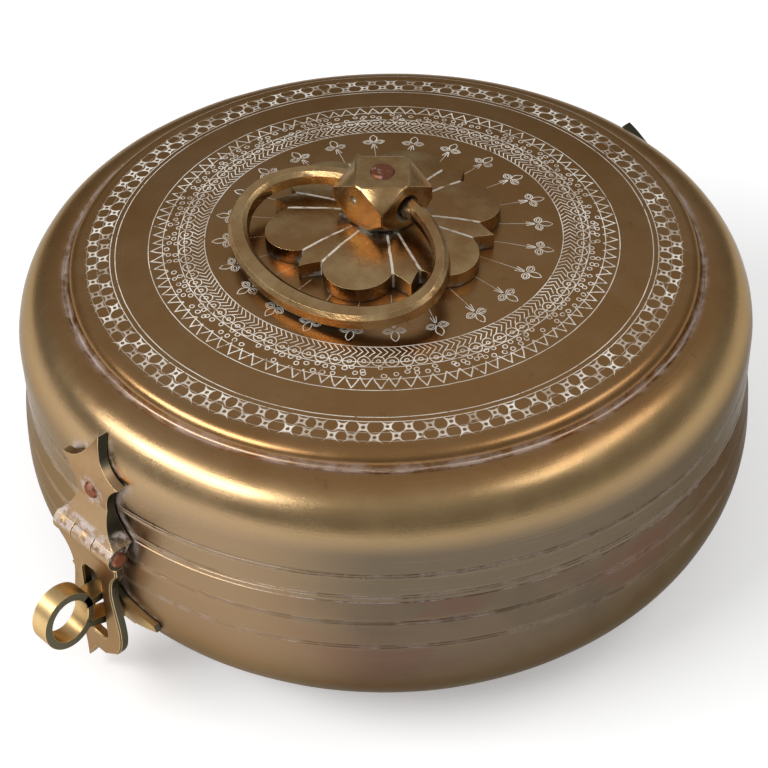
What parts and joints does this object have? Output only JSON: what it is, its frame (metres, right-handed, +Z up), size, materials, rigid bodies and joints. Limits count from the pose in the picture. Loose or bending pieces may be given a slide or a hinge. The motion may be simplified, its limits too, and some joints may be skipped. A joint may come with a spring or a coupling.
{
  "type": "lidded betel box",
  "caption": "Round brass box with a domed hinged lid, a faceted knob with a swinging bail and a slotted hasp over a ring staple; loose cups and a lift-out tray inside.",
  "frame": {"origin": "centre of the flat foot", "axes": "+Z up along the bowl's axis; the hasp faces -Y and the hinge is at +Y; +X runs along the hinge pin"},
  "size_m": [0.242, 0.2777, 0.1358],
  "materials": {
    "lid_brass": "antique, turned and engraved",
    "bowl_brass": "antique, darker and redder",
    "fittings": "cast and filed, dull",
    "inside_brass": "satin",
    "cups": "satin",
    "copper": "copper, dull"
  },
  "bodies": {
    "base": {"base_bowl": "bowl_brass", "rim_collar": "inside_brass", "staple_plate": "fittings", "staple": "fittings", "hinge_base_leaf": "fittings", "hinge_base_rivet": "copper", "katori_centre": "cups", "katori_1": "cups", "katori_2": "cups", "katori_3": "cups", "katori_4": "cups", "katori_5": "cups", "katori_6": "cups"},
    "tray": {"leaf_tray": "inside_brass"},
    "lid": {"lid_shell": "lid_brass", "rosette_plate": "lid_brass", "knob": "lid_brass", "knob_rivet": "copper", "knob_rove": "lid_brass", "hasp_plate": "fittings", "hasp_plate_rivet": "copper", "hasp_pin": "copper", "hinge_lid_leaf": "fittings", "hinge_lid_rivet": "copper", "hinge_pin": "copper"},
    "bail": {"bail": "lid_brass"},
    "hasp": {"hasp_leaf": "fittings"}
  },
  "joints": [
    {"name": "lid_hinge", "type": "hinge", "parent": "base", "child": "lid", "pos_m": [0, 0.1253, 0.0607], "axis": [-1, 0, 0], "range_deg": [0, 105]},
    {"name": "hasp_swing", "type": "hinge", "parent": "lid", "child": "hasp", "pos_m": [0, -0.1253, 0.0607], "axis": [-1, 0, 0], "range_deg": [0, 135]},
    {"name": "bail_swing", "type": "hinge", "parent": "lid", "child": "bail", "pos_m": [0, 0, 0.1267], "axis": [-1, 0, 0], "range_deg": [0, 206]},
    {"name": "tray_lift", "type": "slide", "parent": "base", "child": "tray", "axis": [0, 0, 1], "range_m": [0, 0.03]}
  ]
}
